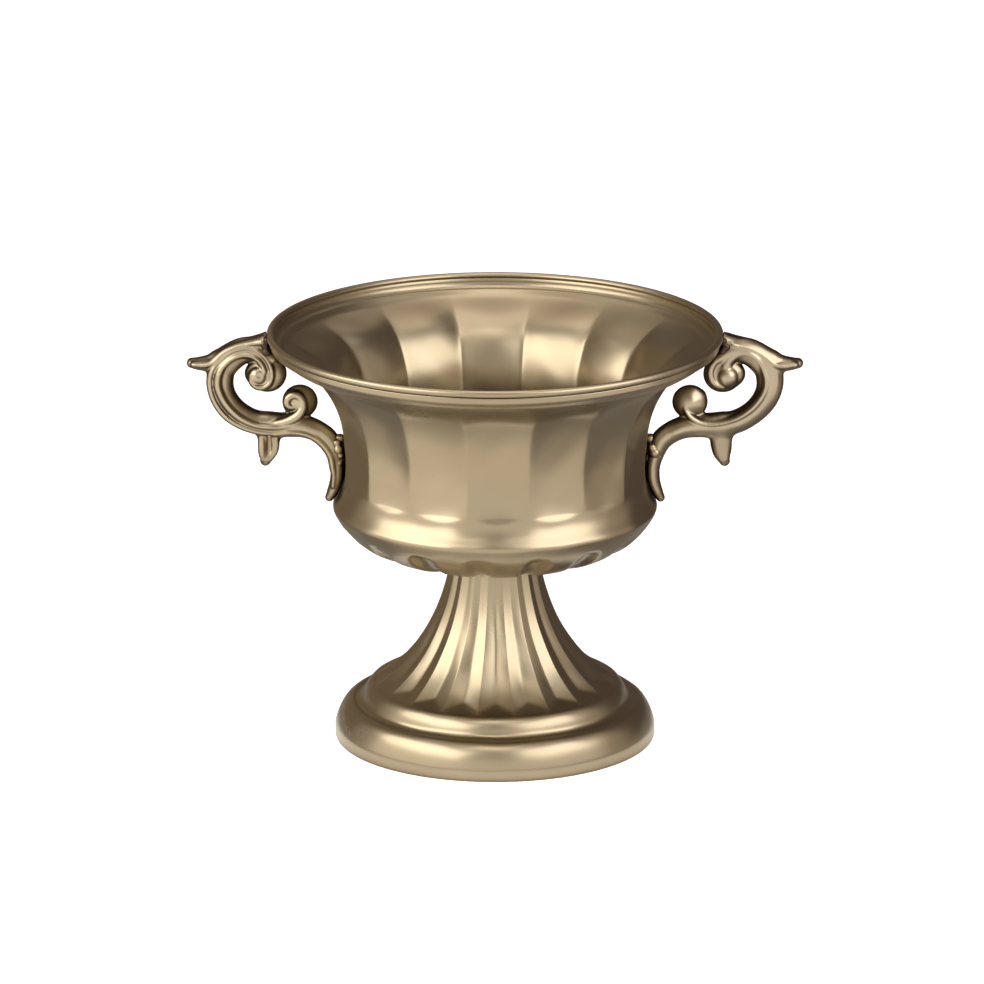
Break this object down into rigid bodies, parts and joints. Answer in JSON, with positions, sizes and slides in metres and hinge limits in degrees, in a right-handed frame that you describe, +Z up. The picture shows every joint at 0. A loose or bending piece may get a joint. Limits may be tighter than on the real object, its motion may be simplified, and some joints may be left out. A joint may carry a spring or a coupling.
{
  "type": "pedestal bowl",
  "caption": "Footed metal bowl with a rolled rim, flared panelled wall, fluted hollow pedestal and scroll handles on opposite sides; stands on the turned-in hem of its foot.",
  "frame": {"origin": "on the vertical axis, on the surface that the foot stands on", "axes": "+Z up along the axis of the bowl and foot; X along the line through the two handles; -Y is the front in the picture"},
  "size_m": [0.224, 0.165, 0.1527],
  "materials": {
    "formed_sheet": "satin champagne-gold metallic finish on pressed steel sheet",
    "handle_casting": "satin champagne-gold metallic finish on a metal casting",
    "braze": "dull, uneven, under the same gold finish",
    "plated_fixings": "zinc plated",
    "rubber_seal": "matt black"
  },
  "bodies": {
    "root": {"bowl": "formed_sheet", "foot": "formed_sheet", "right_handle": "handle_casting", "left_handle": "handle_casting", "right_upper_braze": "braze", "right_lower_braze": "braze", "left_upper_braze": "braze", "left_lower_braze": "braze", "centre_bolt": "plated_fixings", "seal_washer": "rubber_seal", "plate_washer": "plated_fixings", "spring_washer": "plated_fixings", "hex_nut": "plated_fixings"}
  },
  "joints": []
}
